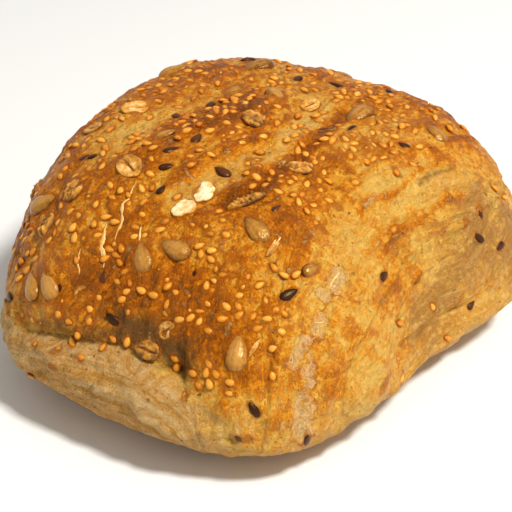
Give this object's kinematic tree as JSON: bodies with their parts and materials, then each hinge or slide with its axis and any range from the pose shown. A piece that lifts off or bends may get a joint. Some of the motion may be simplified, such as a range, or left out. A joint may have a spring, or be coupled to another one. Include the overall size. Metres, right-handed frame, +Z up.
{
  "type": "wholegrain bread roll",
  "caption": "Square-cut multigrain bread roll with a domed golden crust, sesame, sunflower kernels, flax and oat flakes baked into it, and a flat base.",
  "frame": {"origin": "middle of the roll's bounding box, on the surface that it stands on", "axes": "+Z up from the flat base; +X along the roll's length, away from the folded seeded end; -Y out of the pale cut side"},
  "size_m": [0.1239, 0.1076, 0.0561],
  "materials": {
    "seeded_crust": "baked wholegrain crust, golden to orange brown with paler cut sides, with seeds and flakes, satin to matt"
  },
  "bodies": {
    "root": {"bread_roll": "seeded_crust"}
  },
  "joints": []
}
